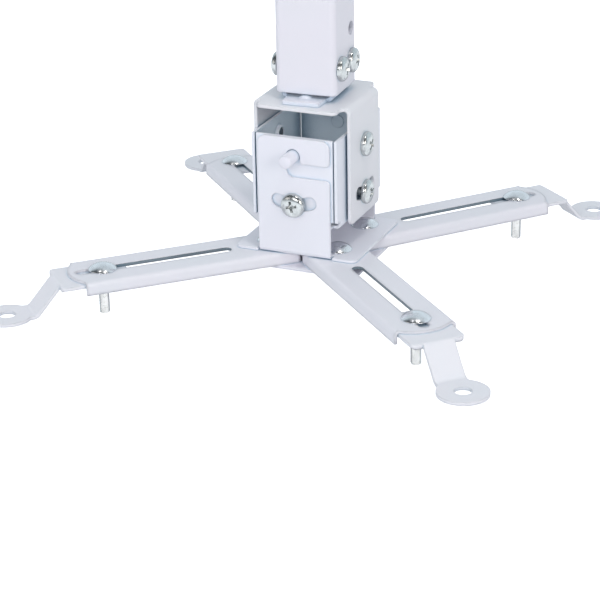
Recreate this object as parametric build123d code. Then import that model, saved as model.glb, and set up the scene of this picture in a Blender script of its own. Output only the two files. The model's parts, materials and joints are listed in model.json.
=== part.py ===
"""Ceiling mount for a projector, in folded and powder coated steel sheet.

A square pole drops onto a small bracket that swivels on a yoke. The yoke tilts on a
folded box about the X axis, and the box tilts in the ears of a base plate about the
Y axis. Four channel legs turn on bolts between the base plate and a bottom plate, and
a foot slides along each leg and ends in a ring for the projector's own screw.

Millimetres, +Z up. The origin is on the pole's axis, in the plane of the four foot
bolts' ends, which the mount stands on. -Y is the front.
"""

from build123d import *
from math import sqrt
import os

# Sheets
plate_sheet = 1.5
leg_sheet = 1.5
foot_sheet = 1.6
box_sheet = 1.6
yoke_sheet = 1.8
bracket_sheet = 2.0

# Pole
pole_width = 30.0
pole_wall = 2.0
pole_corner = 3.0
pole_length = 75.0
pole_gap = 1.7  # pole's lower end above the bracket's web
pole_yaw = 3.0  # how far the pole is turned in its swivel, degrees
side_hole_dia = 6.5
side_hole_height = 27.1  # above the pole's lower end

# Neck bracket, folded up inside the pole's lower end
bracket_length = 43.6
bracket_taper = 3.9  # on each side of the web, out to its tips
bracket_height = 25.0
bracket_bend = 3.0
bracket_play = 0.1  # between the bracket's walls and the pole's bore
bracket_corner = 4.0
pip_dia = 6.8  # round pip pressed up in the web's front tip
pip_height = 1.3
pip_reach = 13.6
neck_screw_height = 11.6  # above the pole's lower end

# Yoke
yoke_width = 49.2
yoke_depth = 35.8
web_width = 40.0
web_length = 51.0
web_corner = 2.5
web_relief = 2.0
yoke_bend = 3.0
yoke_above_pivot = 22.4
yoke_below_pivot = 35.2
yoke_corner = 2.5

# Tilt box
box_depth = 55.2
box_above_pivot = 9.0
box_below_pivot = 35.6
box_bend = 2.6
box_seam = 0.6
box_notch = 4.2
collar_dia = 7.8  # drawn out around each tapped hole, into the box
collar_height = 1.7
spacer_thickness = 1.2
spacer_dia = 12.0

# Pivots and the arc slots for the locking screws
pivot_height = 48.3  # above the base plate's upper face
lock_radius = 24.0
lock_slot_width = 6.4
lock_slot_half_angle = 20.0
pivot_play = 0.08  # radial, pin to hole

# Roll studs, riveted into the tilt box
stud_dia = 6.3
stud_length = 11.0
rivet_dia = 4.0
rivet_head_dia = 6.4
rivet_head_height = 0.8
rivet_play = 0.05

# Base plate with its two ears, and the plain bottom plate
plate_margin = 13.5  # from a leg's pivot to the plate's side
plate_corner = 3.0
plate_bend = 2.5
ear_play = 0.1  # between an ear and the tilt box
ear_width = 36.6
ear_above_pivot = 9.0
ear_corner = 4.5
ear_relief = 0.8
hook_width = 6.9
hook_drop = 7.0
hook_inner_corner = 1.5
hook_mouth_corner = 2.0

# Legs
leg_width = 30.0
leg_depth = 6.2
leg_bend = 2.0
leg_inner_round = 2.0  # how far the round inner end reaches past half the leg's width
leg_gap = 0.6  # between two legs' inner ends
leg_tip_past_bolt = 8.0  # beyond the furthest foot's bolt
leg_tip_bulge = 4.5  # how far the rounded tip reaches past the flanges' ends
leg_shoulder = 2.5
leg_slot_width = 5.4
leg_slot_start = 20.5
leg_slot_margin = 3.4  # from the slot's end to the leg's tip
front_left_angle = 224.2
front_right_angle = -44.3
back_right_angle = 49.8
back_left_angle = 135.0

# Feet
front_left_reach = 84.5  # from each leg's pivot to its foot's bolt, as the feet are set
front_right_reach = 87.0
back_right_reach = 87.0
back_left_reach = 93.0
foot_inner_overhang = 12.0
foot_outer_overhang = 23.0
foot_side_play = 0.5
foot_corner = 2.2
strap_width = 15.0
strap_run = 12.0
strap_drop = 13.7
strap_bend = 3.0
ring_reach = 47.0  # from the foot's bolt to the ring's hole
ring_dia = 23.6
ring_hole_dia = 8.0

# Pan head screws and nuts, M6
screw_dia = 6.0
pan_dia = 11.8
pan_height = 3.6
pan_round = 2.4
recess_length = 6.0
recess_width = 1.2
recess_depth = 2.0
nut_across = 10.0
nut_height = 5.0
thread_play = 0.05  # radial, thread to nut
screw_hole_play = 0.1  # radial, in a plain hole
neck_screw_length = 8.0
tilt_screw_length = 6.0
swivel_bolt_length = 16.0
washer_dia = 12.0
washer_thickness = 1.2

# Mushroom head bolts with a square neck, and their nuts, M5
bolt_dia = 5.0
mushroom_dia = 13.5
mushroom_height = 3.3
mushroom_rim = 0.5
neck_height = 1.4
neck_play = 0.1
small_nut_across = 8.0
small_nut_height = 4.0
thin_nut_height = 2.7
leg_bolt_length = 12.0
foot_bolt_length = 22.0

# Levels and places that follow from the sizes above
leg_top = foot_bolt_length
leg_bottom = leg_top - leg_depth
plate_top = leg_top + plate_sheet
bottom_plate_bottom = leg_bottom - plate_sheet
foot_top = leg_top - leg_sheet
pivot_z = plate_top + pivot_height
lock_z = pivot_z - lock_radius
box_top = pivot_z + box_above_pivot
box_bottom = pivot_z - box_below_pivot
yoke_top = pivot_z + yoke_above_pivot
yoke_bottom = pivot_z - yoke_below_pivot
ear_top = pivot_z + ear_above_pivot
bracket_top = yoke_top + bracket_sheet
pole_bottom = bracket_top + pole_gap
pole_top = pole_bottom + pole_length
neck_screw_z = pole_bottom + neck_screw_height

yoke_side = yoke_width / 2
box_side = yoke_side - yoke_sheet - spacer_thickness
box_front = box_depth / 2
ear_front = box_front + ear_play + plate_sheet
plate_depth = 2 * ear_front
bracket_width = pole_width - 2 * pole_wall - 2 * bracket_play
quarter = pole_width / 4  # the neck screws and the side hole lie this far off the pole's middle
leg_inner_radius = leg_width / 2 + leg_inner_round
leg_pivot = leg_inner_radius + leg_gap / 2
plate_width = 2 * (leg_pivot + plate_margin)

sides = {"left": -1, "right": 1}
ends = {"front": -1, "back": 1}
leg_angles = {
    "front_left": front_left_angle,
    "front_right": front_right_angle,
    "back_right": back_right_angle,
    "back_left": back_left_angle,
}
foot_reaches = {
    "front_left": front_left_reach,
    "front_right": front_right_reach,
    "back_right": back_right_reach,
    "back_left": back_left_reach,
}
leg_tip = max(foot_reaches.values()) + leg_tip_past_bolt
leg_flange_end = leg_tip - leg_tip_bulge


def prism(outline, bottom, top):
    """A flat outline in X and Y, raised from one level to another."""
    return Pos(0, 0, bottom) * extrude(outline, top - bottom)


def across_x(outline, x_from, x_to):
    """An outline drawn in Y and Z, swept along X."""
    return Pos(x_from, 0, 0) * extrude(Plane.YZ * outline, x_to - x_from)


def across_y(outline, y_from, y_to):
    """An outline drawn in X and Z, swept along Y."""
    return Pos(0, y_from, 0) * extrude(Plane.XZ * outline, y_from - y_to)


def folded_channel(width, web, edge, sheet, bend):
    """Section of a sheet folded twice: a web at one height, and walls down or up to an edge."""
    half = width / 2
    skin = FilletPolyline((-half, edge), (-half, web), (half, web), (half, edge), radius=bend)
    inner_web = web - sheet if web > edge else web + sheet
    inside = half - sheet
    core = FilletPolyline(
        (inside, edge), (inside, inner_web), (-inside, inner_web), (-inside, edge), radius=bend - sheet
    )
    right_edge = Line((half, edge), (inside, edge))
    left_edge = Line((-inside, edge), (-half, edge))
    return make_face([*skin.edges(), right_edge, *core.edges(), left_edge])


def nearest(vertices, x, y):
    """The corner of a flat outline that lies nearest to a point."""
    return vertices.sort_by_distance((x, y, 0))[0]


def arc_slot():
    """Slot for a locking screw, curved about the pivot at the sketch's origin."""
    middle = CenterArc((0, 0), lock_radius, 270 - lock_slot_half_angle, 2 * lock_slot_half_angle)
    return SlotArc(middle, lock_slot_width)


def pan_screw(length):
    """Pan head screw: the head stands on the plane z = 0 and the shank hangs below it."""
    profile = Pos(pan_dia / 4, pan_height / 2) * Rectangle(pan_dia / 2, pan_height)
    profile = fillet(nearest(profile.vertices(), pan_dia / 2, pan_height), pan_round)
    screw = revolve(Plane.XZ * profile, Axis.Z)
    cross = Rectangle(recess_length, recess_width) + Rectangle(recess_width, recess_length)
    screw -= prism(cross, pan_height - recess_depth, pan_height)
    return screw + prism(Circle(screw_dia / 2), -length, 0)


def mushroom_bolt(length):
    """Mushroom head bolt with a square neck: the head stands on the plane z = 0."""
    rim = mushroom_dia / 2
    rise = mushroom_height - mushroom_rim
    crown = (rim**2 + rise**2) / (2 * rise)
    middle = rim / 2
    middle_height = mushroom_height - crown + sqrt(crown**2 - middle**2)
    profile = make_face([
        Line((0, 0), (rim, 0)),
        Line((rim, 0), (rim, mushroom_rim)),
        ThreePointArc((rim, mushroom_rim), (middle, middle_height), (0, mushroom_height)),
        Line((0, mushroom_height), (0, 0)),
    ])
    bolt = revolve(Plane.XZ * profile, Axis.Z)
    bolt += prism(Rectangle(bolt_dia, bolt_dia), -neck_height, 0)
    return bolt + prism(Circle(bolt_dia / 2), -length, 0)


def nut(across, height, thread_dia):
    """Hexagon nut that hangs below the plane z = 0."""
    hexagon = RegularPolygon(across / 2, 6, major_radius=False)
    return prism(hexagon - Circle(thread_dia / 2 + thread_play), -height, 0)


def washer(outer, inner, thickness):
    """Flat ring that lies on the plane z = 0."""
    return prism(Circle(outer / 2) - Circle(inner / 2), 0, thickness)


def facing_x(x, y, z, way):
    """Place for a screw whose head looks along X, one way or the other."""
    return Pos(x, y, z) * Rot(0, 90 * way, 0)


def facing_y(x, y, z, way):
    """Place for a screw whose head looks along Y, one way or the other."""
    return Pos(x, y, z) * Rot(-90 * way, 0, 0)


def pole_tube():
    half = pole_width / 2
    outer = RectangleRounded(pole_width, pole_width, pole_corner)
    bore = RectangleRounded(pole_width - 2 * pole_wall, pole_width - 2 * pole_wall, pole_corner - pole_wall)
    tube = prism(outer - bore, pole_bottom, pole_top)
    neck_hole = Circle(screw_dia / 2 + screw_hole_play)
    for y in (-quarter, quarter):
        tube -= across_x(Pos(y, neck_screw_z) * neck_hole, -half, half)
    side_hole = Pos(quarter, pole_bottom + side_hole_height) * Circle(side_hole_dia / 2)
    return tube - across_x(side_hole, -half, half)


def low_dome(dia, height):
    """Part of a ball that stands on the plane z = 0."""
    ball = ((dia / 2)**2 + height**2) / (2 * height)
    above = Box(dia, dia, height, align=(Align.CENTER, Align.CENTER, Align.MIN))
    return Pos(0, 0, height - ball) * Sphere(ball) & above


def neck_bracket():
    """A web that lies on the yoke, with a wall folded up into the pole on each side."""
    half = bracket_width / 2
    top = yoke_top + bracket_height
    section = folded_channel(bracket_width, yoke_top, top, bracket_sheet, bracket_bend)
    channel = across_y(section, -bracket_length / 2, bracket_length / 2)
    root = half - bracket_bend
    tip = half - bracket_taper
    wall_end = pole_width / 2 - pole_corner
    tongue_end = bracket_length / 2
    tongues = Polyline(
        (root, wall_end), (tip, tongue_end), (-tip, tongue_end), (-root, wall_end),
        (-root, -wall_end), (-tip, -tongue_end), (tip, -tongue_end), (root, -wall_end),
        close=True,
    )
    plan = Rectangle(bracket_width, 2 * wall_end) + make_face(tongues)
    bracket = channel & prism(plan, yoke_top, top)
    wall_ends = bracket.edges().filter_by(Axis.X).group_by(Axis.Z)[-1]
    bracket = fillet(wall_ends, bracket_corner)
    bracket -= prism(Circle(screw_dia / 2 + screw_hole_play), yoke_top, bracket_top)
    bracket += Pos(0, -pip_reach, bracket_top) * low_dome(pip_dia, pip_height)
    for y in (-quarter, quarter):
        bracket -= across_x(Pos(y, neck_screw_z) * Circle(screw_dia / 2 + thread_play), -half, half)
    return bracket


def yoke():
    """A web with a rounded tongue at the front and back, and a flange folded down on each side."""
    section = folded_channel(yoke_width, yoke_top, yoke_bottom, yoke_sheet, yoke_bend)
    channel = across_y(section, -web_length / 2, web_length / 2)
    plan = Rectangle(yoke_width, yoke_depth) + Rectangle(web_width, web_length)
    tongue_side = web_width / 2
    for y, radius in {web_length / 2: web_corner, yoke_depth / 2: web_relief}.items():
        corners = [(x, way * y) for x in (-tongue_side, tongue_side) for way in (-1, 1)]
        plan = fillet([nearest(plan.vertices(), *corner) for corner in corners], radius)
    body = channel & prism(plan, yoke_bottom, yoke_top)
    body = fillet(body.edges().filter_by(Axis.X).group_by(Axis.Z)[0], yoke_corner)
    body -= prism(Circle(screw_dia / 2 + pivot_play), yoke_top - yoke_sheet, yoke_top)
    openings = Circle(screw_dia / 2 + pivot_play) + arc_slot()
    return body - across_x(Pos(0, pivot_z) * openings, -yoke_side, yoke_side)


def tilt_box():
    """Open box folded from a cross of sheet: four walls, with seams left open at the corners."""
    height = box_top - box_bottom
    outer = Box(2 * box_side, box_depth, height, align=(Align.CENTER, Align.CENTER, Align.MIN))
    outer = fillet(outer.edges().group_by(Axis.Z)[0], box_bend)
    inner_x = box_side - box_sheet
    inner_y = box_front - box_sheet
    inner = Box(2 * inner_x, 2 * inner_y, height, align=(Align.CENTER, Align.CENTER, Align.MIN))
    inner = fillet(inner.edges().group_by(Axis.Z)[0], box_bend - box_sheet)
    box = Pos(0, 0, box_bottom) * (outer - Pos(0, 0, box_sheet) * inner)
    for x in (-1, 1):
        for y in (-1, 1):
            seam = Rectangle(box_seam, box_sheet)
            seam = Pos(x * (inner_x - box_seam / 2), y * (box_front - box_sheet / 2)) * seam
            box -= prism(seam, box_bottom, box_top)
            notch = Rectangle(box_notch, box_notch)
            notch = Pos(x * (box_side - box_notch / 2), y * (box_front - box_notch / 2)) * notch
            box -= prism(notch, box_bottom, box_bottom + box_notch)
    collar = Circle(collar_dia / 2)
    pair = Pos(0, pivot_z) * collar + Pos(0, lock_z) * collar
    for way in (-1, 1):
        box += across_x(pair, *sorted((way * inner_x, way * (inner_x - collar_height))))
        box += across_y(Pos(0, lock_z) * collar, *sorted((way * inner_y, way * (inner_y - collar_height))))
    tapped = Circle(screw_dia / 2 + thread_play)
    lock_hole = Pos(0, lock_z) * tapped
    box -= across_x(Pos(0, pivot_z) * tapped + lock_hole, -box_side, box_side)
    stud_hole = Pos(0, pivot_z) * Circle(rivet_dia / 2 + rivet_play)
    return box - across_y(stud_hole + lock_hole, -box_front, box_front)


def roll_stud():
    """Stud riveted through the box's wall: z = 0 is the wall's outer face, +Z points outward."""
    stud = prism(Circle(stud_dia / 2), 0, stud_length)
    stud += prism(Circle(rivet_dia / 2), -box_sheet, 0)
    return stud + prism(Circle(rivet_head_dia / 2), -box_sheet - rivet_head_height, -box_sheet)


def ear_outline():
    """One ear of the base plate in X and Z, with the hooked slot that the stud drops into."""
    half = ear_width / 2
    ear = Pos(0, (leg_top + ear_top) / 2) * Rectangle(ear_width, ear_top - leg_top)
    ear = fillet([nearest(ear.vertices(), x, ear_top) for x in (-half, half)], ear_corner)
    elbow = pivot_z - hook_drop
    side = hook_width / 2
    ear -= Pos(0, pivot_z - hook_drop / 2) * SlotCenterToCenter(hook_drop, hook_width, rotation=90)
    ear -= Pos(half / 2, elbow) * Rectangle(half, hook_width)
    ear = fillet(nearest(ear.vertices(), side, elbow + side), hook_inner_corner)
    mouth = [nearest(ear.vertices(), half, elbow + way * side) for way in (-1, 1)]
    ear = fillet(mouth, hook_mouth_corner)
    return ear - Pos(0, pivot_z) * arc_slot()


def base_plate():
    """Flat plate with an ear folded up at the front and back, and square holes for the leg bolts."""
    section = folded_channel(plate_depth, leg_top, ear_top, plate_sheet, plate_bend)
    ears = across_x(section, -ear_width / 2, ear_width / 2)
    ears &= across_y(ear_outline(), -ear_front, ear_front)
    plan = RectangleRounded(plate_width, plate_depth, plate_corner)
    relief_depth = plate_bend + ear_relief
    relief = Rectangle(ear_width + 2 * ear_relief, relief_depth)
    for way in (-1, 1):
        plan -= Pos(0, way * (ear_front - relief_depth / 2)) * relief
    plate = prism(plan, leg_top, plate_top) + ears
    for x in (-leg_pivot, leg_pivot):
        for y in (-leg_pivot, leg_pivot):
            neck = bolt_dia + 2 * neck_play
            plate -= prism(Pos(x, y) * Rectangle(neck, neck), leg_top, plate_top)
    return plate


def bottom_plate():
    plan = RectangleRounded(plate_width, plate_depth, plate_corner)
    for x in (-leg_pivot, leg_pivot):
        for y in (-leg_pivot, leg_pivot):
            plan -= Pos(x, y) * Circle(bolt_dia / 2 + pivot_play)
    return prism(plan, bottom_plate_bottom, leg_bottom)


def leg():
    """Channel with its web up, drawn along +X from the pivot at the origin."""
    half = leg_width / 2
    inner_corner = -sqrt(leg_inner_radius**2 - half**2)
    tip = half - leg_shoulder
    plan = make_face([
        Line((inner_corner, -half), (leg_flange_end, -half)),
        Line((leg_flange_end, -half), (leg_flange_end, -tip)),
        ThreePointArc((leg_flange_end, -tip), (leg_tip, 0), (leg_flange_end, tip)),
        Line((leg_flange_end, tip), (leg_flange_end, half)),
        Line((leg_flange_end, half), (inner_corner, half)),
        ThreePointArc((inner_corner, half), (-leg_inner_radius, 0), (inner_corner, -half)),
    ])
    end_radius = leg_slot_width / 2
    slot_last = leg_tip - leg_slot_margin - end_radius
    slot_first = leg_slot_start + end_radius
    slot = Pos((slot_first + slot_last) / 2, 0) * SlotCenterToCenter(slot_last - slot_first, leg_slot_width)
    plan -= slot + Circle(bolt_dia / 2 + pivot_play)
    section = folded_channel(leg_width, leg_top, leg_bottom, leg_sheet, leg_bend)
    return across_x(section, -leg_inner_radius, leg_tip) & prism(plan, leg_bottom, leg_top)


def foot():
    """Plate that slides under the leg's web, with a strap down to a ring, drawn from its bolt."""
    inner = -foot_inner_overhang
    outer = foot_outer_overhang
    ring_end = ring_reach + ring_dia / 2
    ring_top = foot_top - strap_drop
    slope_end = outer + strap_run
    skin = FilletPolyline(
        (inner, foot_top), (outer, foot_top), (slope_end, ring_top), (ring_end, ring_top), radius=strap_bend
    )
    section = make_face(offset(skin, foot_sheet, side=Side.RIGHT))
    width = leg_width - 2 * leg_sheet - 2 * foot_side_play
    head = RectangleRounded(outer - inner, width, foot_corner)
    plan = Pos((inner + outer) / 2, 0) * head
    plan += Pos((outer + ring_reach) / 2, 0) * Rectangle(ring_reach - outer, strap_width)
    plan += Pos(ring_reach, 0) * Circle(ring_dia / 2)
    plan -= Pos(ring_reach, 0) * Circle(ring_hole_dia / 2)
    plan -= Circle(bolt_dia / 2 + thread_play)
    sheet = across_y(section, -leg_width / 2, leg_width / 2)
    return sheet & prism(plan, ring_top - 2 * foot_sheet, foot_top)


def pole_parts():
    """Everything that turns with the pole in its swivel."""
    turned = Rot(0, 0, pole_yaw)
    parts = {"pole_tube": pole_tube(), "neck_bracket": neck_bracket()}
    screw = pan_screw(neck_screw_length)
    for end, y in ends.items():
        for side, x in sides.items():
            place = facing_x(x * pole_width / 2, y * quarter, neck_screw_z, x)
            parts[f"neck_screw_{end}_{side}"] = place * screw
    hanging = Pos(0, 0, yoke_top - yoke_sheet) * Rot(180, 0, 0)
    parts["swivel_bolt"] = hanging * pan_screw(swivel_bolt_length)
    ring = washer(washer_dia, screw_dia + 2 * screw_hole_play, washer_thickness)
    parts["swivel_washer"] = Pos(0, 0, bracket_top) * ring
    nut_top = bracket_top + washer_thickness + nut_height
    parts["swivel_nut"] = Pos(0, 0, nut_top) * Rot(0, 0, 30) * nut(nut_across, nut_height, screw_dia)
    return {name: turned * solid for name, solid in parts.items()}


def tilt_parts():
    """The yoke and the box, with the screws, spacers and studs that join them."""
    parts = {"yoke": yoke(), "tilt_box": tilt_box()}
    screw = pan_screw(tilt_screw_length)
    ring = washer(spacer_dia, screw_dia + 2 * pivot_play, spacer_thickness)
    for side, way in sides.items():
        for job, z in {"pivot": pivot_z, "lock": lock_z}.items():
            parts[f"pitch_{job}_screw_{side}"] = facing_x(way * yoke_side, 0, z, way) * screw
        parts[f"pitch_pivot_spacer_{side}"] = facing_x(way * box_side, 0, pivot_z, way) * ring
    for end, way in ends.items():
        parts[f"roll_stud_{end}"] = facing_y(0, way * box_front, pivot_z, way) * roll_stud()
        parts[f"roll_lock_screw_{end}"] = facing_y(0, way * ear_front, lock_z, way) * screw
    return parts


def base_parts():
    """The two plates, the four legs between them and the four feet."""
    parts = {"base_plate": base_plate(), "bottom_plate": bottom_plate()}
    small_nut = nut(small_nut_across, small_nut_height, bolt_dia)
    thin_nut = nut(small_nut_across, thin_nut_height, bolt_dia)
    leg_bolt = mushroom_bolt(leg_bolt_length)
    foot_bolt = mushroom_bolt(foot_bolt_length)
    one_leg = leg()
    one_foot = foot()
    for corner, angle in leg_angles.items():
        x = leg_pivot if corner.endswith("right") else -leg_pivot
        y = leg_pivot if corner.startswith("back") else -leg_pivot
        along = Pos(x, y, 0) * Rot(0, 0, angle)
        out = along * Pos(foot_reaches[corner], 0, 0)
        parts[f"leg_pivot_bolt_{corner}"] = Pos(x, y, plate_top) * leg_bolt
        parts[f"leg_pivot_nut_{corner}"] = Pos(x, y, bottom_plate_bottom) * thin_nut
        parts[f"leg_{corner}"] = along * one_leg
        parts[f"foot_{corner}"] = out * one_foot
        parts[f"foot_bolt_{corner}"] = out * Pos(0, 0, leg_top) * foot_bolt
        parts[f"foot_nut_{corner}"] = out * Pos(0, 0, foot_top - foot_sheet) * small_nut
    return parts


os.makedirs("parts", exist_ok=True)
for name, solid in {**pole_parts(), **tilt_parts(), **base_parts()}.items():
    export_step(solid, f"parts/{name}.step")
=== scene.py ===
import json
from math import atan2, cos, hypot, pi, radians, sin, tan

import bmesh
import bpy
from mathutils import Matrix, Vector

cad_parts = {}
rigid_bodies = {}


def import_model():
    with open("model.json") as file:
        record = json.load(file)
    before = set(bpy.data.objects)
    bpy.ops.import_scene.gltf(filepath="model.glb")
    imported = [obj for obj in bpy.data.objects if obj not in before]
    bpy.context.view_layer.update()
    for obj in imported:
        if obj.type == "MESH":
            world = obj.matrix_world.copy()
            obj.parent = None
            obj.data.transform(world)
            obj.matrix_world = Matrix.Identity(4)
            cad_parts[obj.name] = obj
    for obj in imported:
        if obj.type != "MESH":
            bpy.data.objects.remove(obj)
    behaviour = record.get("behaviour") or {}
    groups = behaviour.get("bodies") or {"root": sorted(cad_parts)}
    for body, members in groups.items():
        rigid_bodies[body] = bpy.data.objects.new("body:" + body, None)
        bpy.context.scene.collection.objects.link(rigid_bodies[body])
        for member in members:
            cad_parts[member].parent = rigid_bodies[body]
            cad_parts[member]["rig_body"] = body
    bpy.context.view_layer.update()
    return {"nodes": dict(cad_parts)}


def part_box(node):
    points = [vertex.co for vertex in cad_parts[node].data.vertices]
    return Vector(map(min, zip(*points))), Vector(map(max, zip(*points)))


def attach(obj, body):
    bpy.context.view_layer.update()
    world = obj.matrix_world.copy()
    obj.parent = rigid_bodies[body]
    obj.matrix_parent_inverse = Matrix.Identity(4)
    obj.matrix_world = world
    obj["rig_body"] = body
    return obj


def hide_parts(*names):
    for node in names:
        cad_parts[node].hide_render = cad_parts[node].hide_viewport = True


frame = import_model()


# Pole: a square steel tube that the cable runs down. Extruded, its corners rounded, with a cross
# hole for the next tube's pin and two screw holes a side at its foot, then powder coated white.
mm = 0.001
corners = ("front_left", "front_right", "back_right", "back_left")
ends = {"front": -1, "back": 1}
sides = {"left": -1, "right": 1}
pole_turn = 3.0


def node_group(name, inputs, outputs):
    """An empty group of shader nodes, with its sockets."""
    group = bpy.data.node_groups.new(name, "ShaderNodeTree")
    for label, kind, value in inputs:
        socket = group.interface.new_socket(label, in_out="INPUT", socket_type=kind)
        socket.default_value = value
    for label, kind in outputs:
        group.interface.new_socket(label, in_out="OUTPUT", socket_type=kind)
    return group, group.nodes.new("NodeGroupInput"), group.nodes.new("NodeGroupOutput")


def noise(group, where, size, detail=2.0, roughness=0.5):
    """Noise whose blobs are about this many metres across."""
    node = group.nodes.new("ShaderNodeTexNoise")
    node.inputs["Scale"].default_value = 1 / size
    node.inputs["Detail"].default_value = detail
    node.inputs["Roughness"].default_value = roughness
    group.links.new(where, node.inputs["Vector"])
    return node.outputs["Fac"]


def spread(group, value, low, high, to_low, to_high):
    """Stretches one span of values over another."""
    node = group.nodes.new("ShaderNodeMapRange")
    for socket, number in zip(("From Min", "From Max", "To Min", "To Max"), (low, high, to_low, to_high)):
        node.inputs[socket].default_value = number
    group.links.new(value, node.inputs["Value"])
    return node.outputs["Result"]


def blended(group, mask, one, other):
    """One colour or the other, as the mask says."""
    node = group.nodes.new("ShaderNodeMix")
    node.data_type = "RGBA"
    group.links.new(mask, node.inputs["Factor"])
    group.links.new(one, node.inputs["A"])
    group.links.new(other, node.inputs["B"])
    return node.outputs["Result"]


def worked(group, job, one, other):
    """Arithmetic on two values, either of which may be a plain number."""
    node = group.nodes.new("ShaderNodeMath")
    node.operation = job
    for socket, value in zip(node.inputs, (one, other)):
        if isinstance(value, (int, float)):
            socket.default_value = value
        else:
            group.links.new(value, socket)
    return node.outputs["Value"]


coat_group, coat_in, coat_out = node_group(
    "powder coat",
    [
        ("Paint", "NodeSocketColor", (0.7, 0.7, 0.7, 1)),
        ("Thin paint", "NodeSocketColor", (0.6, 0.6, 0.6, 1)),
        ("Nook", "NodeSocketFloat", 0.009),
        ("Shade", "NodeSocketColor", (0.86, 0.96, 1.0, 1)),
    ],
    [("Colour", "NodeSocketColor"), ("Roughness", "NodeSocketFloat"), ("Height", "NodeSocketFloat")],
)
coat_place = coat_group.nodes.new("ShaderNodeTexCoord").outputs["Object"]
coat_cloud = noise(coat_group, coat_place, 0.03, 3)
coat_speck = noise(coat_group, coat_place, 0.0006, 1)
coat_peel = noise(coat_group, coat_place, 0.0013, 2, 0.4)
coat_cloud_mask = spread(coat_group, coat_cloud, 0.35, 0.7, 0, 0.7)
coat_speck_mask = spread(coat_group, coat_speck, 0.62, 0.8, 0, 0.5)
coat_mask = worked(coat_group, "MAXIMUM", coat_cloud_mask, coat_speck_mask)
coat_colour = blended(coat_group, coat_mask, coat_in.outputs["Paint"], coat_in.outputs["Thin paint"])
# Painted shade: ambient occlusion darkens the paint in nooks, creases and between parts, by the Shade colour
# where partly enclosed and by a dark blue where deeply enclosed.
coat_nook = coat_group.nodes.new("ShaderNodeAmbientOcclusion")
coat_nook.samples = 6
coat_group.links.new(coat_in.outputs["Nook"], coat_nook.inputs["Distance"])
coat_nook_shade_mask = spread(coat_group, coat_nook.outputs["AO"], 0.05, 0.42, 1, 0)
coat_nook_painted_shade = coat_group.nodes.new("ShaderNodeMix")
coat_nook_painted_shade.data_type = "RGBA"
coat_nook_painted_shade.blend_type = "MULTIPLY"
coat_nook_painted_shade.inputs["B"].default_value = (0.36, 0.48, 0.57, 1)
coat_group.links.new(coat_nook_shade_mask, coat_nook_painted_shade.inputs["Factor"])
coat_painted_shade = coat_group.nodes.new("ShaderNodeMix")
coat_painted_shade.data_type = "RGBA"
coat_painted_shade.blend_type = "MULTIPLY"
coat_group.links.new(coat_in.outputs["Shade"], coat_painted_shade.inputs["B"])
coat_painted_shade_mask = spread(coat_group, coat_nook.outputs["AO"], 0.5, 0.85, 1, 0)
coat_group.links.new(coat_painted_shade_mask, coat_painted_shade.inputs["Factor"])
coat_group.links.new(coat_colour, coat_painted_shade.inputs["A"])
coat_group.links.new(coat_painted_shade.outputs["Result"], coat_nook_painted_shade.inputs["A"])
coat_group.links.new(coat_nook_painted_shade.outputs["Result"], coat_out.inputs["Colour"])
coat_rough = worked(
    coat_group,
    "ADD",
    spread(coat_group, coat_cloud, 0.3, 0.7, 0.36, 0.43),
    spread(coat_group, coat_peel, 0.3, 0.7, 0, 0.05),
)
coat_group.links.new(coat_rough, coat_out.inputs["Roughness"])
coat_group.links.new(coat_peel, coat_out.inputs["Height"])


def powder_coat(name, paint, thin_paint, fold=1.0 * mm, nook=9 * mm, shade=(0.86, 0.96, 1.0)):
    """White powder coat: satin, a little cloudy, soft at its folds, with painted shade darkening its nooks.
    """
    material = bpy.data.materials.new(name)
    material.use_nodes = True
    tree = material.node_tree
    shader = tree.nodes["Principled BSDF"]
    shader.inputs["Coat Weight"].default_value = 0.12
    shader.inputs["Coat Roughness"].default_value = 0.25
    group = tree.nodes.new("ShaderNodeGroup")
    group.node_tree = coat_group
    group.inputs["Paint"].default_value = (*paint, 1)
    group.inputs["Thin paint"].default_value = (*thin_paint, 1)
    group.inputs["Nook"].default_value = nook
    group.inputs["Shade"].default_value = (*shade, 1)
    round_fold = tree.nodes.new("ShaderNodeBevel")
    round_fold.samples = 4
    round_fold.inputs["Radius"].default_value = fold
    bump = tree.nodes.new("ShaderNodeBump")
    bump.inputs["Distance"].default_value = 9e-6
    tree.links.new(round_fold.outputs["Normal"], bump.inputs["Normal"])
    tree.links.new(group.outputs["Colour"], shader.inputs["Base Color"])
    tree.links.new(group.outputs["Roughness"], shader.inputs["Roughness"])
    tree.links.new(group.outputs["Height"], bump.inputs["Height"])
    tree.links.new(bump.outputs["Normal"], shader.inputs["Normal"])
    return material


def shown(name, mesh, material, place=Matrix.Identity(4)):
    """Puts a mesh into the scene as a piece of its own."""
    piece = bpy.data.objects.new(name, mesh)
    piece.matrix_world = place
    bpy.context.scene.collection.objects.link(piece)
    if not mesh.materials:
        mesh.materials.append(material)
    return piece


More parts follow.
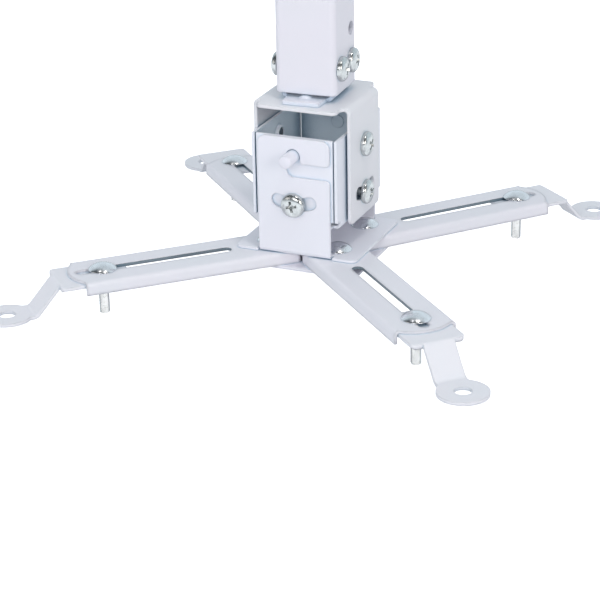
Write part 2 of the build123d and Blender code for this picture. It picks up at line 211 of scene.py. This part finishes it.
def coated_sheet(node, finish, round_edge=0.28 * mm):
    """A sheet piece as it leaves the coating line, every cut edge rounded over by the paint."""
    source = frame["nodes"][node]
    form = bmesh.new()
    form.from_mesh(source.data)
    bmesh.ops.remove_doubles(form, verts=form.verts, dist=1e-6)
    bmesh.ops.dissolve_limit(form, angle_limit=radians(0.5), verts=form.verts, edges=form.edges)
    cut_edges = [e for e in form.edges if len(e.link_faces) == 2 and e.calc_face_angle() > radians(40)]
    bmesh.ops.bevel(
        form, geom=cut_edges, offset=round_edge, segments=2, profile=0.5,
        affect="EDGES", clamp_overlap=True, loop_slide=False,
    )
    for face in form.faces:
        face.smooth = True
    mesh = bpy.data.meshes.new(node + "_coated")
    form.to_mesh(mesh)
    form.free()
    piece = shown(node + "_coated", mesh, finish)
    weighted = piece.modifiers.new("flat faces", "WEIGHTED_NORMAL")
    weighted.mode = "FACE_AREA"
    weighted.weight = 100
    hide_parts(node)
    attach(piece, source["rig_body"])
    return piece


pole_paint = powder_coat("pole powder coat", (0.81, 0.77, 0.83), (0.79, 0.77, 0.82))
coated_sheet("pole_tube", pole_paint, 0.35 * mm)


# Neck bracket: a strip of sheet folded up into a channel that fits inside the pole's lower end.
# Its web turns on the yoke, and its tips stick out at the front and back. Powder coated.
bracket_paint = powder_coat("neck bracket powder coat", (0.83, 0.80, 0.87), (0.80, 0.80, 0.86))
coated_sheet("neck_bracket", bracket_paint)


# Neck screws: four M6 pan head screws that hold the pole on its bracket, two a side. Steel, with a
# rolled thread, a pressed cross recess and bright zinc plating.
zinc_group, zinc_in, zinc_out = node_group(
    "bright zinc",
    [("Bright", "NodeSocketColor", (0.7, 0.7, 0.7, 1)), ("Dull", "NodeSocketColor", (0.5, 0.5, 0.5, 1))],
    [("Colour", "NodeSocketColor"), ("Roughness", "NodeSocketFloat"), ("Height", "NodeSocketFloat")],
)
zinc_place = zinc_group.nodes.new("ShaderNodeTexCoord").outputs["Object"]
zinc_bloom = noise(zinc_group, zinc_place, 0.003, 3, 0.6)
zinc_grain = noise(zinc_group, zinc_place, 0.0004, 2)
zinc_mask = spread(zinc_group, zinc_bloom, 0.4, 0.68, 0, 1)
zinc_colour = blended(zinc_group, zinc_mask, zinc_in.outputs["Bright"], zinc_in.outputs["Dull"])
zinc_group.links.new(zinc_colour, zinc_out.inputs["Colour"])
zinc_rough = worked(
    zinc_group,
    "ADD",
    spread(zinc_group, zinc_bloom, 0.35, 0.7, 0.17, 0.27),
    spread(zinc_group, zinc_grain, 0.4, 0.7, 0, 0.06),
)
zinc_group.links.new(zinc_rough, zinc_out.inputs["Roughness"])
zinc_group.links.new(zinc_grain, zinc_out.inputs["Height"])


def zinc_plate(name, bright, dull, rim_shade_from=0.62, rim_shade_to=0.97):
    """Bright zinc plate over steel, slightly bloomed in patches, with painted shade darkening it where it
    turns away.
    """
    material = bpy.data.materials.new(name)
    material.use_nodes = True
    tree = material.node_tree
    shader = tree.nodes["Principled BSDF"]
    shader.inputs["Metallic"].default_value = 1.0
    group = tree.nodes.new("ShaderNodeGroup")
    group.node_tree = zinc_group
    group.inputs["Bright"].default_value = (*bright, 1)
    group.inputs["Dull"].default_value = (*dull, 1)
    bump = tree.nodes.new("ShaderNodeBump")
    bump.inputs["Distance"].default_value = 2e-6
    # Painted shade: the colour darkens towards near black where the surface turns away from view.
    glance = tree.nodes.new("ShaderNodeLayerWeight")
    glance.inputs["Blend"].default_value = 0.5
    rim = tree.nodes.new("ShaderNodeMix")
    rim.data_type = "RGBA"
    rim.inputs["B"].default_value = (0.16, 0.17, 0.18, 1)
    tree.links.new(spread(tree, glance.outputs["Facing"], rim_shade_from, rim_shade_to, 0, 0.85), rim.inputs["Factor"])
    tree.links.new(group.outputs["Colour"], rim.inputs["A"])
    tree.links.new(rim.outputs["Result"], shader.inputs["Base Color"])
    tree.links.new(group.outputs["Roughness"], shader.inputs["Roughness"])
    tree.links.new(group.outputs["Height"], bump.inputs["Height"])
    tree.links.new(bump.outputs["Normal"], shader.inputs["Normal"])
    return material


def turned(form, profile, steps=48):
    """Turns a profile of (radius, height) pairs about Z. A radius of 0 ends on the axis."""
    rings = []
    for radius, height in profile:
        if radius == 0:
            rings.append([form.verts.new((0, 0, height))])
            continue
        angles = [2 * pi * i / steps for i in range(steps)]
        rings.append([form.verts.new((radius * cos(a), radius * sin(a), height)) for a in angles])
    skin(form, rings, steps)


def skin(form, rings, steps):
    """Joins rings of points, one after the other, with faces."""
    for low, high in zip(rings, rings[1:]):
        for i in range(steps):
            j = (i + 1) % steps
            loop = [low[i % len(low)], low[j % len(low)], high[j % len(high)], high[i % len(high)]]
            form.faces.new(list(dict.fromkeys(loop)))


def threaded_shank(form, dia, pitch, low, high, steps=32):
    """A rolled thread from one height to another, with a point at its lower end."""
    depth = 0.6134 * pitch
    crest = dia / 2
    rib = ((0.06, crest - depth), (0.43, crest), (0.57, crest), (0.94, crest - depth))
    turns = int((high - low) / pitch) + 4
    screw = bmesh.new()
    rows = []
    for turn in range(turns):
        for share, radius in rib:
            row = []
            for i in range(steps):
                a = 2 * pi * i / steps
                height = low + pitch * (turn - 2 + share + i / steps)
                row.append(screw.verts.new((radius * cos(a), radius * sin(a), height)))
            rows.append(row)
    for k in range(len(rows) - 1):
        for i in range(steps):
            j = (i + 1) % steps
            lift = len(rib) if j == 0 else 0
            if k + 1 + lift < len(rows):
                screw.faces.new((rows[k][i], rows[k + lift][j], rows[k + 1 + lift][j], rows[k + 1][i]))
    for height, way in ((low, -1), (high, 1)):
        everything = [*screw.verts, *screw.edges, *screw.faces]
        cut = bmesh.ops.bisect_plane(
            screw, geom=everything, dist=1e-7, plane_co=(0, 0, height), plane_no=(0, 0, way), clear_outer=True
        )
        rim = [e for e in cut["geom_cut"] if isinstance(e, bmesh.types.BMEdge)]
        bmesh.ops.edgeloop_fill(screw, edges=rim)
    for vertex in screw.verts:
        point = crest - depth * 1.1 + (vertex.co.z - low) * 1.2
        reach = hypot(vertex.co.x, vertex.co.y)
        if reach > point:
            vertex.co.x *= point / reach
            vertex.co.y *= point / reach
    bmesh.ops.recalc_face_normals(screw, faces=screw.faces)
    joined(form, screw)


def joined(form, other):
    """Adds one form to another, and frees it."""
    mesh = bpy.data.meshes.new("joined")
    other.to_mesh(mesh)
    other.free()
    form.from_mesh(mesh)
    bpy.data.meshes.remove(mesh)


def made(form, name, crease=32):
    """A mesh from a form, smooth but for its creases."""
    for face in form.faces:
        face.smooth = True
    mesh = bpy.data.meshes.new(name)
    form.to_mesh(mesh)
    form.free()
    mesh.set_sharp_from_angle(angle=radians(crease))
    return mesh


def cut_away(form, cutter):
    """Cuts one closed form out of another, as a punch does."""
    pair = []
    for name, part in (("blank", form), ("punch", cutter)):
        mesh = bpy.data.meshes.new(name)
        part.to_mesh(mesh)
        part.free()
        pair.append(bpy.data.objects.new(name, mesh))
        bpy.context.scene.collection.objects.link(pair[-1])
    blank, punch = pair
    cut = blank.modifiers.new("cut", "BOOLEAN")
    cut.operation = "DIFFERENCE"
    cut.solver = "EXACT"
    cut.object = punch
    result = bpy.data.meshes.new_from_object(blank.evaluated_get(bpy.context.evaluated_depsgraph_get()))
    form = bmesh.new()
    form.from_mesh(result)
    for part in pair:
        bpy.data.meshes.remove(part.data)
    bpy.data.meshes.remove(result)
    return form


def cross_punch(mouth, floor):
    """The tapered cross that a Phillips recess is pressed with."""
    layers = [
        (mouth + 0.9 * mm, 3.25 * mm, 0.78 * mm, 0.55 * mm),
        (mouth, 2.85 * mm, 0.66 * mm, 0.5 * mm),
        (floor + 0.25 * mm, 1.5 * mm, 0.48 * mm, 0.3 * mm),
        (floor, 1.05 * mm, 0.36 * mm, 0.25 * mm),
    ]
    punch = bmesh.new()
    rings = []
    for height, arm, side, web in layers:
        ring = []
        for quarter in range(4):
            for x, y in ((arm, -side), (arm, side), (side + web, side), (side, side + web)):
                if quarter % 2:
                    x, y = -y, x
                if quarter > 1:
                    x, y = -x, -y
                ring.append((x, y))
        ring = [p for i, p in enumerate(ring) if p not in ring[:i]]
        ring.sort(key=lambda p: atan2(p[1], p[0]))
        rings.append([punch.verts.new((x, y, height)) for x, y in ring])
    skin(punch, rings, len(rings[0]))
    punch.faces.new(rings[0])
    punch.faces.new(reversed(rings[-1]))
    bmesh.ops.recalc_face_normals(punch, faces=punch.faces)
    return punch


def pan_head_screw(length):
    """M6 pan head screw with a cross recess: the head stands on z = 0, and the thread hangs below it."""
    rim, height, wall = 5.9 * mm, 3.6 * mm, 0.9 * mm
    profile = [(0, 0), (rim - 0.2 * mm, 0), (rim, 0.2 * mm), (rim, wall)]
    for i in range(1, 15):
        a = pi / 2 * i / 15
        profile.append((rim * cos(a) ** 0.78, wall + (height - wall) * sin(a) ** 0.78))
    profile.append((0, height))
    head = bmesh.new()
    turned(head, profile)
    bmesh.ops.recalc_face_normals(head, faces=head.faces)
    screw = cut_away(head, cross_punch(height, height - 2.3 * mm))
    threaded_shank(screw, 6 * mm, 1.0 * mm, -length, 0.2 * mm)
    return made(screw, "pan head screw")


def fastened(node, mesh, plating, place):
    """Puts a plated fastener where its CAD node is, riding on the same body."""
    piece = shown(node + "_plated", mesh, plating, place)
    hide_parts(node)
    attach(piece, frame["nodes"][node]["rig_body"])
    return piece


def looking_along_x(x, y, z, way, spin=0):
    """A place whose Z axis looks along X, one way or the other."""
    turned_out = Matrix.Rotation(way * pi / 2, 4, "Y") @ Matrix.Rotation(spin, 4, "Z")
    return Matrix.Translation((x, y, z)) @ turned_out


neck_zinc = zinc_plate("neck screw zinc", (0.66, 0.68, 0.68), (0.52, 0.54, 0.54))
neck_screw = pan_head_screw(length=8 * mm)
pole_side = 15 * mm
screw_off_middle = 7.5 * mm
neck_screw_level = 109.5 * mm
with_pole = Matrix.Rotation(radians(pole_turn), 4, "Z")
neck_spins = iter((0.35, 1.2, 0.8, 0.1))
for end, y in ends.items():
    for side, x in sides.items():
        place = looking_along_x(x * pole_side, y * screw_off_middle, neck_screw_level, x, next(neck_spins))
        fastened(f"neck_screw_{end}_{side}", neck_screw, neck_zinc, with_pole @ place)


# Swivel bolt, washer and nut: the M6 pin that the pole's bracket turns on. The head is under the
# yoke's web, the washer and the nut are inside the pole's lower end. Zinc plated steel.
def hexagon_nut(across, height, bore, steps=72):
    """A pressed hexagon nut with chamfered corners and a countersunk thread, centred on z = 0."""
    flat = across / 2
    face = flat * 0.94
    half = height / 2
    chamfer = radians(32)
    rises = (0, 0.12, 0.24, 0.36, 0.5, 0.65)
    levels = [(-half + rise * mm, face + rise * mm / tan(chamfer)) for rise in rises]
    levels += [(-z, reach) for z, reach in reversed(levels)]
    corner = flat / cos(pi / 6)
    rows = []
    mouth = bore / 2 + 0.35 * mm
    sink = 0.4 * mm
    inside = [(half, mouth), (half - sink, bore / 2), (-half + sink, bore / 2)]
    for z, reach in [(-half, mouth)] + levels + inside:
        row = []
        for i in range(steps):
            a = 2 * pi * i / steps
            wall = flat / cos((a + pi / 6) % (pi / 3) - pi / 6)
            radius = min(reach, wall, corner - 0.08 * mm)
            row.append((radius * cos(a), radius * sin(a), z))
        rows.append(row)
    form = bmesh.new()
    rings = [[form.verts.new(p) for p in row] for row in rows]
    skin(form, rings + rings[:1], steps)
    bmesh.ops.recalc_face_normals(form, faces=form.faces)
    return made(form, "hexagon nut", 25)


def flat_ring(outer, inner, thickness, soft=0.12 * mm):
    """A punched flat washer, its edges slightly rounded, from z = 0 up."""
    a, b = inner / 2, outer / 2
    profile = [(a, soft), (a + soft, 0), (b - soft, 0), (b, soft), (b, thickness - soft)]
    profile += [(b - soft, thickness), (a + soft, thickness), (a, thickness - soft), (a, soft)]
    form = bmesh.new()
    turned(form, profile, 56)
    bmesh.ops.remove_doubles(form, verts=form.verts, dist=1e-7)
    bmesh.ops.recalc_face_normals(form, faces=form.faces)
    return made(form, "flat ring")


swivel_zinc = zinc_plate("swivel bolt zinc", (0.66, 0.68, 0.68), (0.52, 0.54, 0.54))
pan_head = 3.6 * mm
under_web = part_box("swivel_bolt")[0].z + pan_head
hanging = Matrix.Translation((0, 0, under_web)) @ Matrix.Rotation(pi, 4, "X")
fastened("swivel_bolt", pan_head_screw(length=16 * mm), swivel_zinc, with_pole @ hanging)
on_web = Matrix.Translation((0, 0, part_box("swivel_washer")[0].z))
swivel_ring = flat_ring(outer=12 * mm, inner=6.2 * mm, thickness=1.2 * mm)
fastened("swivel_washer", swivel_ring, swivel_zinc, with_pole @ on_web)
nut_low, nut_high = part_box("swivel_nut")
above_web = Matrix.Translation((0, 0, (nut_low.z + nut_high.z) / 2)) @ Matrix.Rotation(radians(30), 4, "Z")
swivel_nut = hexagon_nut(across=10 * mm, height=5 * mm, bore=6 * mm)
fastened("swivel_nut", swivel_nut, swivel_zinc, with_pole @ above_web)


# Yoke: one blank of sheet with a round-cornered tongue at the front and back of its web, and a
# flange folded down each side with an arc slot for the locking screw. Powder coated.
yoke_paint = powder_coat("yoke powder coat", (0.82, 0.79, 0.82), (0.79, 0.79, 0.82), nook=4 * mm)
coated_sheet("yoke", yoke_paint)


# Pitch screws and spacers: on each side an M6 pan head screw that the yoke pivots on, with a ring
# between yoke and box, and one that locks the yoke in its arc slot. Zinc plated steel; the thread's
# end inside the box's tapped collars is painted near black as painted shade.
pitch_zinc = zinc_plate("pitch screw zinc", (0.66, 0.68, 0.68), (0.52, 0.54, 0.54))
collar_shade_zinc = zinc_plate("tapped thread painted shade", (0.13, 0.15, 0.17), (0.07, 0.08, 0.10))
tilt_screw = pan_head_screw(length=6 * mm)
tilt_screw.materials.append(pitch_zinc)
tilt_screw.materials.append(collar_shade_zinc)
# Painted shade: the thread below this depth, inside the collar, gets the near-black zinc.
thread_in_collar = -3.5 * mm
for face in tilt_screw.polygons:
    if face.center.z < thread_in_collar:
        face.material_index = 1
spacer_ring = flat_ring(outer=12 * mm, inner=6.16 * mm, thickness=1.2 * mm)
box_side = 21.6 * mm
pivot_level = 71.8 * mm
pitch_spins = iter((0.5, 0.15, 0.95, 0.6))
for side, way in sides.items():
    for job in ("pivot", "lock"):
        low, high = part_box(f"pitch_{job}_screw_{side}")
        under_head = max(-low.x, high.x) - pan_head
        place = looking_along_x(way * under_head, 0, (low.z + high.z) / 2, way, next(pitch_spins))
        fastened(f"pitch_{job}_screw_{side}", tilt_screw, pitch_zinc, place)
    place = looking_along_x(way * box_side, 0, pivot_level, way)
    fastened(f"pitch_pivot_spacer_{side}", spacer_ring, pitch_zinc, place)


# Tilt box: folded up from a cross of sheet into four walls and a bottom, open at the top. The
# corner seams are left open, with a square notch where two folds meet. Powder coated inside too;
# the inside's bluer white and its darkening towards the corners are painted shade.
box_paint = powder_coat("tilt box powder coat", (0.86, 0.85, 0.91), (0.84, 0.85, 0.91), nook=3 * mm)
box_inside_shaded_paint = powder_coat(
    "tilt box inside powder coat with painted shade",
    (0.84, 0.93, 1.0),
    (0.82, 0.92, 1.0),
    nook=15 * mm,
    shade=(0.16, 0.26, 0.34),
)
tilt_box = coated_sheet("tilt_box", box_paint, 0.22 * mm)
tilt_box.data.materials.append(box_inside_shaded_paint)
# Faces that look into the box take the inside paint, with its painted shade.
facing_in = -10 * mm
for face in tilt_box.data.polygons:
    if face.normal.x * face.center.x + face.normal.y * face.center.y < facing_in:
        face.material_index = 1


# Roll studs: a shouldered steel stud riveted through the box's front and back walls, coated with
# the box inside and out. The base plate's hooked ears hang on them.
stud_paint = powder_coat("roll stud powder coat", (0.83, 0.80, 0.87), (0.80, 0.80, 0.86))
stud_form = bmesh.new()
stud_profile = [(0, 11.0), (2.55, 11.0), (2.95, 10.85), (3.15, 10.45), (3.15, 0.0), (2.0, 0.0), (2.0, -1.6)]
stud_profile += [(3.0, -1.6), (3.2, -1.75), (3.0, -2.1), (2.3, -2.35), (0, -2.4)]
turned(stud_form, [(r * mm, z * mm) for r, z in stud_profile])
bmesh.ops.recalc_face_normals(stud_form, faces=stud_form.faces)
stud_mesh = made(stud_form, "roll stud")
stud_mesh.materials.append(stud_paint)
stud_mesh.materials.append(box_inside_shaded_paint)
# The rivet head inside the box takes the box's inside paint, with its painted shade.
rivet_head_from = -1.5 * mm
for face in stud_mesh.polygons:
    if face.center.z < rivet_head_from:
        face.material_index = 1


def looking_along_y(x, y, z, way, spin=0):
    """A place whose Z axis looks along Y, one way or the other."""
    turned_out = Matrix.Rotation(-way * pi / 2, 4, "X") @ Matrix.Rotation(spin, 4, "Z")
    return Matrix.Translation((x, y, z)) @ turned_out


box_front = 27.6 * mm
for end, way in ends.items():
    node = f"roll_stud_{end}"
    place = looking_along_y(0, way * box_front, pivot_level, way)
    stud = shown(node + "_coated", stud_mesh, stud_paint, place)
    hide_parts(node)
    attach(stud, frame["nodes"][node]["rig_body"])


# Roll lock screws: an M6 pan head screw through each ear's arc slot into a tapped hole of the box.
# Zinc plated steel.
roll_zinc = zinc_plate("roll screw zinc", (0.66, 0.68, 0.68), (0.50, 0.52, 0.52))
roll_screw = pan_head_screw(length=6 * mm)
ear_face = 29.2 * mm
lock_level = 47.8 * mm
roll_spins = iter((0.2, 0.9))
for end, way in ends.items():
    place = looking_along_y(0, way * ear_face, lock_level, way, next(roll_spins))
    fastened(f"roll_lock_screw_{end}", roll_screw, roll_zinc, place)


# Base plate: sheet with an ear folded up at the front and back, each with a hooked slot for the
# stud and an arc slot for the locking screw. The four leg bolts' square necks sit in it.
base_paint = powder_coat("base plate powder coat", (0.84, 0.82, 0.88), (0.82, 0.82, 0.88), nook=1.2 * mm)
coated_sheet("base_plate", base_paint)


# Bottom plate: a flat sheet that holds the legs up against the base plate. Powder coated.
bottom_paint = powder_coat("bottom plate powder coat", (0.83, 0.80, 0.87), (0.80, 0.80, 0.86), nook=2 * mm)
coated_sheet("bottom_plate", bottom_paint)


# Leg pivot bolts and nuts: M5 mushroom head bolts with a square neck, which the legs turn on, and
# hexagon nuts under the bottom plate. Zinc plated steel.
def mushroom_head_bolt(length):
    """M5 mushroom head bolt: the head stands on z = 0 over a square neck, the thread hangs below."""
    rim, height, wall = 6.75 * mm, 3.3 * mm, 0.45 * mm
    rise = height - wall
    crown = (rim**2 + rise**2) / (2 * rise)
    profile = [(0, 0), (rim - 0.15 * mm, 0), (rim, 0.12 * mm)]
    profile += [(rim, wall - 0.1 * mm), (rim - 0.06 * mm, wall)]
    for i in range(1, 16):
        radius = rim * (1 - i / 16)
        if radius < rim - 0.3 * mm:
            profile.append((radius, height - crown + (crown**2 - radius**2) ** 0.5))
    profile.append((0, height))
    bolt = bmesh.new()
    turned(bolt, profile, 56)
    neck_side, neck_height, neck_middle = 5 * mm, 1.4 * mm, 0.65 * mm
    down, back = Matrix.Translation((0, 0, -neck_middle)), Matrix.Translation((0, 0, neck_middle))
    neck = bmesh.ops.create_cube(bolt, size=1, matrix=down)["verts"]
    bmesh.ops.scale(bolt, vec=(neck_side, neck_side, neck_height), verts=neck, space=back)
    bmesh.ops.recalc_face_normals(bolt, faces=bolt.faces)
    threaded_shank(bolt, 5 * mm, 0.8 * mm, -length, -1.2 * mm)
    return made(bolt, "mushroom head bolt")


leg_zinc = zinc_plate("leg bolt zinc", (0.84, 0.85, 0.87), (0.74, 0.75, 0.77))
leg_bolt = mushroom_head_bolt(length=12 * mm)
thin_nut = hexagon_nut(across=8 * mm, height=2.7 * mm, bore=5 * mm)
mushroom_head = 3.3 * mm
for corner in corners:
    low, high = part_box(f"leg_pivot_bolt_{corner}")
    x, y = (low.x + high.x) / 2, (low.y + high.y) / 2
    under_head = Matrix.Translation((x, y, high.z - mushroom_head))
    fastened(f"leg_pivot_bolt_{corner}", leg_bolt, leg_zinc, under_head)
    low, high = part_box(f"leg_pivot_nut_{corner}")
    fastened(f"leg_pivot_nut_{corner}", thin_nut, leg_zinc, Matrix.Translation((x, y, (low.z + high.z) / 2)))


# Legs: four channels folded from sheet, with a long slot for the foot's bolt. Powder coated. The
# slot's walls between the hub and the bolt are painted dark as painted shade.
leg_angles = {"front_left": 224.2, "front_right": -44.3, "back_right": 49.8, "back_left": 135.0}
leg_paint = powder_coat(
    "leg powder coat", (0.81, 0.78, 0.83), (0.78, 0.78, 0.82), fold=2.5 * mm, nook=1.2 * mm
)
# Painted shade: a dark coat for the slot walls between the hub and the foot's bolt.
slot_wall_painted_shade = powder_coat("leg slot painted shade", (0.20, 0.25, 0.29), (0.12, 0.15, 0.18))
slot_start = 20 * mm
slot_half = 2.8 * mm
for corner, angle in leg_angles.items():
    leg = coated_sheet(f"leg_{corner}", leg_paint)
    leg.data.materials.append(slot_wall_painted_shade)
    low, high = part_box(f"leg_pivot_bolt_{corner}")
    pivot = Vector(((low.x + high.x) / 2, (low.y + high.y) / 2, 0))
    low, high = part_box(f"foot_bolt_{corner}")
    clamp = Vector(((low.x + high.x) / 2, (low.y + high.y) / 2, 0))
    along = (clamp - pivot).normalized()
    form = bmesh.new()
    form.from_mesh(leg.data)
    everything = [*form.verts, *form.edges, *form.faces]
    bmesh.ops.bisect_plane(form, geom=everything, dist=1e-7, plane_co=clamp, plane_no=along)
    for face in form.faces:
        arm = face.calc_center_median() - pivot
        arm.z = 0
        reach = along.dot(arm)
        off_middle = (arm - along * reach).length
        in_slot = slot_start < reach < (clamp - pivot).length and off_middle < slot_half
        if in_slot and abs(face.normal.z) < 0.6:
            face.material_index = 1
    form.to_mesh(leg.data)
    form.free()


# Feet: thicker sheet, bent down to a ring for the projector's own screw. Each slides under the web
# of its leg. Powder coated.
foot_paint = powder_coat("foot powder coat", (0.82, 0.79, 0.83), (0.79, 0.79, 0.83))
for corner in corners:
    coated_sheet(f"foot_{corner}", foot_paint, 0.32 * mm)


# Foot bolts and nuts: longer M5 mushroom head bolts that clamp each foot in its leg's slot. The
# mount stands on their ends on a table. Zinc plated steel.
foot_zinc = zinc_plate("foot bolt zinc", (0.84, 0.85, 0.87), (0.74, 0.75, 0.77))
# Painted highlight and painted shade: the threads are near-white zinc, darkened strongly towards their sides
# where they turn away.
foot_thread_painted_light = zinc_plate("foot bolt thread zinc with painted highlight", (1.0, 1.0, 0.98), (0.9, 0.9, 0.88), 0.35, 0.75)
foot_bolt = mushroom_head_bolt(length=22 * mm)
foot_bolt.materials.append(foot_zinc)
foot_bolt.materials.append(foot_thread_painted_light)
under_neck = -1.4 * mm
for face in foot_bolt.polygons:
    if face.center.z < under_neck:
        face.material_index = 1
foot_nut = hexagon_nut(across=8 * mm, height=4 * mm, bore=5 * mm)
for corner, angle in leg_angles.items():
    low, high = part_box(f"foot_bolt_{corner}")
    x, y = (low.x + high.x) / 2, (low.y + high.y) / 2
    along = Matrix.Rotation(radians(angle), 4, "Z")
    under_head = Matrix.Translation((x, y, high.z - mushroom_head))
    fastened(f"foot_bolt_{corner}", foot_bolt, foot_zinc, under_head @ along)
    low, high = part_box(f"foot_nut_{corner}")
    middle_of_nut = Matrix.Translation((x, y, (low.z + high.z) / 2))
    fastened(f"foot_nut_{corner}", foot_nut, foot_zinc, middle_of_nut @ along)


# Floor: a plain white sheet that glows to the camera, so that it stays even and pale, and about half
# as much in what mirrors it. The glow lights nothing else, but lamp light bounces off the floor.
floor_mesh = bpy.data.meshes.new("floor")
floor_half = 6.0
floor_rim = [(x * floor_half, y * floor_half, 0) for x, y in ((-1, -1), (1, -1), (1, 1), (-1, 1))]
floor_mesh.from_pydata(floor_rim, [], [(0, 1, 2, 3)])
floor_finish = bpy.data.materials.new("floor white")
floor_finish.use_nodes = True
floor_tree = floor_finish.node_tree
floor_shader = floor_tree.nodes["Principled BSDF"]
floor_shader.inputs["Base Color"].default_value = (0.70, 0.71, 0.74, 1)
floor_shader.inputs["Roughness"].default_value = 0.9
floor_shader.inputs["Specular IOR Level"].default_value = 0.1
floor_shader.inputs["Emission Color"].default_value = (1, 1, 1, 1)
floor_rays = floor_tree.nodes.new("ShaderNodeLightPath")
floor_glow = spread(floor_tree, floor_rays.outputs["Is Glossy Ray"], 0, 1, 0, 0.55)
floor_glow = worked(floor_tree, "MAXIMUM", floor_glow, floor_rays.outputs["Is Camera Ray"])
floor_tree.links.new(floor_glow, floor_shader.inputs["Emission Strength"])
floor = shown("floor", floor_mesh, floor_finish)


# World: pale at eye level and darker towards the ceiling. What mirrors it sees a dark room in front,
# as behind a camera. To the camera itself it is as white as the floor.
world = bpy.data.worlds.new("studio")
bpy.context.scene.world = world
world.use_nodes = True
sky = world.node_tree


def sky_band(place, stops):
    """Grey that changes with height above the horizon."""
    ramp = sky.nodes.new("ShaderNodeValToRGB")
    elements = ramp.color_ramp.elements
    while len(elements) < len(stops):
        elements.new(0.5)
    for element, (position, grey) in zip(elements, stops):
        element.position = position
        element.color = (grey * 0.88, grey, grey * 1.08, 1)
    sky.links.new(place, ramp.inputs["Fac"])
    return ramp.outputs["Color"]


sky_parts = sky.nodes.new("ShaderNodeSeparateXYZ")
sky.links.new(sky.nodes.new("ShaderNodeTexCoord").outputs["Generated"], sky_parts.inputs["Vector"])
sky_soft = sky_band(sky_parts.outputs["Z"], ((0.0, 0.66), (0.3, 0.60), (0.8, 0.54)))
sky_sharp = sky_band(sky_parts.outputs["Z"], ((0.0, 0.85), (0.5, 0.85), (0.9, 0.7)))
sky_front = sky.nodes.new("ShaderNodeMix")
sky_front.data_type = "RGBA"
sky_front.inputs["B"].default_value = (0.07, 0.08, 0.09, 1)
sky_ahead = spread(sky, sky_parts.outputs["Y"], 0.15, -0.15, 0, 1)
sky_raised = spread(sky, sky_parts.outputs["Z"], 0.0, 0.12, 0, 1)
sky.links.new(worked(sky, "MINIMUM", sky_ahead, sky_raised), sky_front.inputs["Factor"])
sky.links.new(sky_sharp, sky_front.inputs["A"])
sky_rays = sky.nodes.new("ShaderNodeLightPath")
sky_light = blended(sky, sky_rays.outputs["Is Glossy Ray"], sky_soft, sky_front.outputs["Result"])
sky_white = sky.nodes.new("ShaderNodeMix")
sky_white.data_type = "RGBA"
sky_white.inputs["B"].default_value = (1, 1, 1, 1)
sky.links.new(sky_rays.outputs["Is Camera Ray"], sky_white.inputs["Factor"])
sky.links.new(sky_light, sky_white.inputs["A"])
sky.links.new(sky_white.outputs["Result"], sky.nodes["Background"].inputs["Color"])


# Lights: three softboxes low in front, the strongest on the right, and two small lamps near the
# ceiling that leave a glint on each bolt head.
def softbox(name, place, aim, size, power, tint=(1, 1, 1)):
    lamp = bpy.data.lights.new(name, "AREA")
    lamp.shape = "RECTANGLE"
    lamp.size, lamp.size_y = size
    lamp.energy = power
    lamp.color = tint
    body = bpy.data.objects.new(name, lamp)
    body.location = place
    body.rotation_euler = (Vector(aim) - Vector(place)).to_track_quat("-Z", "Y").to_euler()
    bpy.context.scene.collection.objects.link(body)


middle = (0, 0, 0.07)
softbox("front softbox", (0.1, -1.7, 0.8), middle, (0.7, 0.5), 7, (0.98, 0.97, 0.97))
softbox("right softbox", (1.5, -1.15, 0.72), middle, (1.0, 0.7), 8.5, (1, 0.94, 0.88))
softbox("left softbox", (-1.35, -1.35, 0.68), middle, (1.0, 0.7), 3, (1, 0.95, 0.9))
softbox("left ceiling lamp", (-0.35, -0.6, 2.0), middle, (0.22, 0.22), 1.2)
softbox("right ceiling lamp", (0.6, -0.4, 1.95), middle, (0.22, 0.22), 5.6, (1, 0.97, 0.93))


# Camera: in front, a little to the right and above, where the photo was taken from. A long lens, so
# that the four legs keep nearly the same size near and far.
camera_data = bpy.data.cameras.new("camera")
camera_data.lens = 132.0
camera_data.sensor_width = 36.0
camera = bpy.data.objects.new("camera", camera_data)
bpy.context.scene.collection.objects.link(camera)
camera_turn, camera_dip, camera_roll = radians(23.62), radians(23.08), radians(-1.09)
camera.matrix_world = (
    Matrix.Translation((0.38997, -0.91559, 0.41183))
    @ Matrix.Rotation(camera_turn, 4, "Z")
    @ Matrix.Rotation(pi / 2 - camera_dip, 4, "X")
    @ Matrix.Rotation(camera_roll, 4, "Z")
)
bpy.context.scene.camera = camera
bpy.context.scene.view_settings.view_transform = "Standard"
